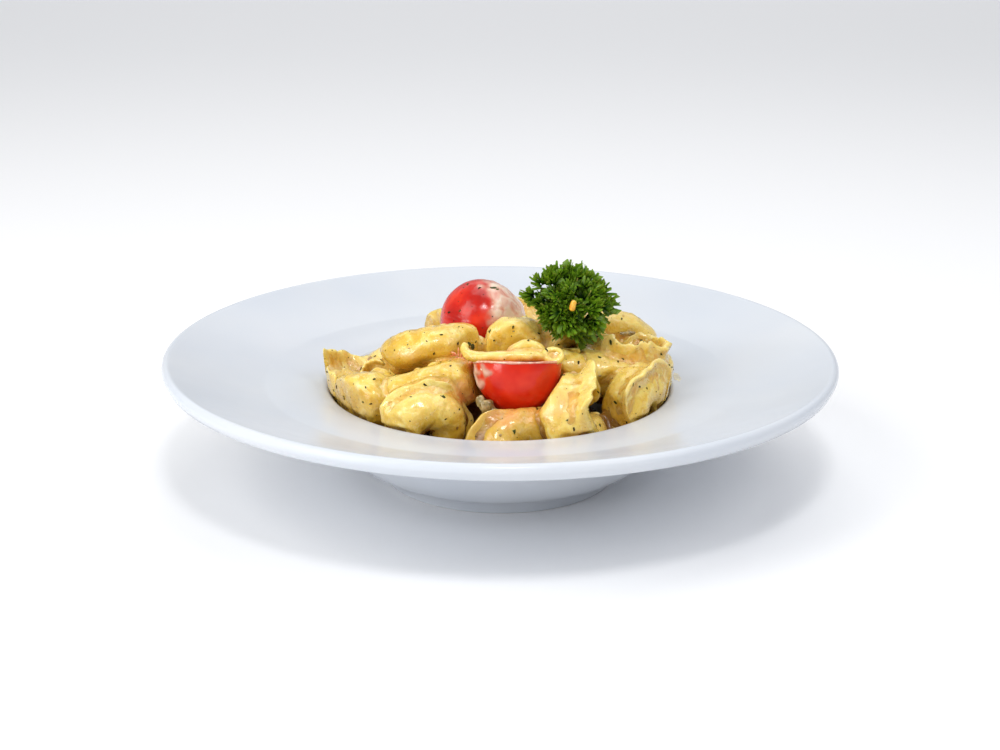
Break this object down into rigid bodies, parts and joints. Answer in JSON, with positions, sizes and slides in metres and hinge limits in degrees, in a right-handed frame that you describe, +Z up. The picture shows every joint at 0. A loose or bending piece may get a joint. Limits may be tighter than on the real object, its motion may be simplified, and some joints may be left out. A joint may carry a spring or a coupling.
{
  "type": "plate of tortellini",
  "caption": "Ring-shaped filled pasta in cream sauce, heaped in a wide-rimmed pasta plate with cherry tomatoes and a sprig of curly parsley on top.",
  "frame": {"origin": "centre of the plate's foot ring, on the table", "axes": "+Z up; -Y towards the side with the half tomato, which is the front; +X to the right as seen from the front"},
  "size_m": [0.28, 0.28, 0.095],
  "materials": {
    "porcelain": "glazed white porcelain",
    "pasta": "soft egg dough with a glossy coat of sauce",
    "sauce": "cream sauce",
    "tomato": "smooth wet skin",
    "parsley": "fresh leaf"
  },
  "bodies": {
    "root": {"plate": "porcelain", "heap_core": "sauce", "tortellino_left_open": "pasta", "tortellino_left_pillow": "pasta", "tortellino_front_left": "pasta", "tortellino_front_low": "pasta", "tortellino_front_peak": "pasta", "tortellino_front_right": "pasta", "tortellino_right_edge": "pasta", "tortellino_back_right": "pasta", "tortellino_back_mid_right": "pasta", "tortellino_back_mid_left": "pasta", "tortellino_back_left": "pasta", "tortellino_left_back": "pasta", "tortellino_left_inner": "pasta", "tortellino_mid_long": "pasta", "tortellino_upper_left": "pasta", "tortellino_right_wavy": "pasta", "tortellino_right_upper": "pasta", "tortellino_back_upper_left": "pasta", "tortellino_back_upper": "pasta", "tortellino_back_upper_right": "pasta", "tortellino_top_flap": "pasta", "tortellino_top_belly": "pasta", "tortellino_top_right": "pasta", "tortellino_under_sprig": "pasta", "tomato_back": "tomato", "tomato_half_front": "tomato", "tomato_hidden_left": "tomato", "parsley_sprig": "parsley"}
  },
  "joints": []
}
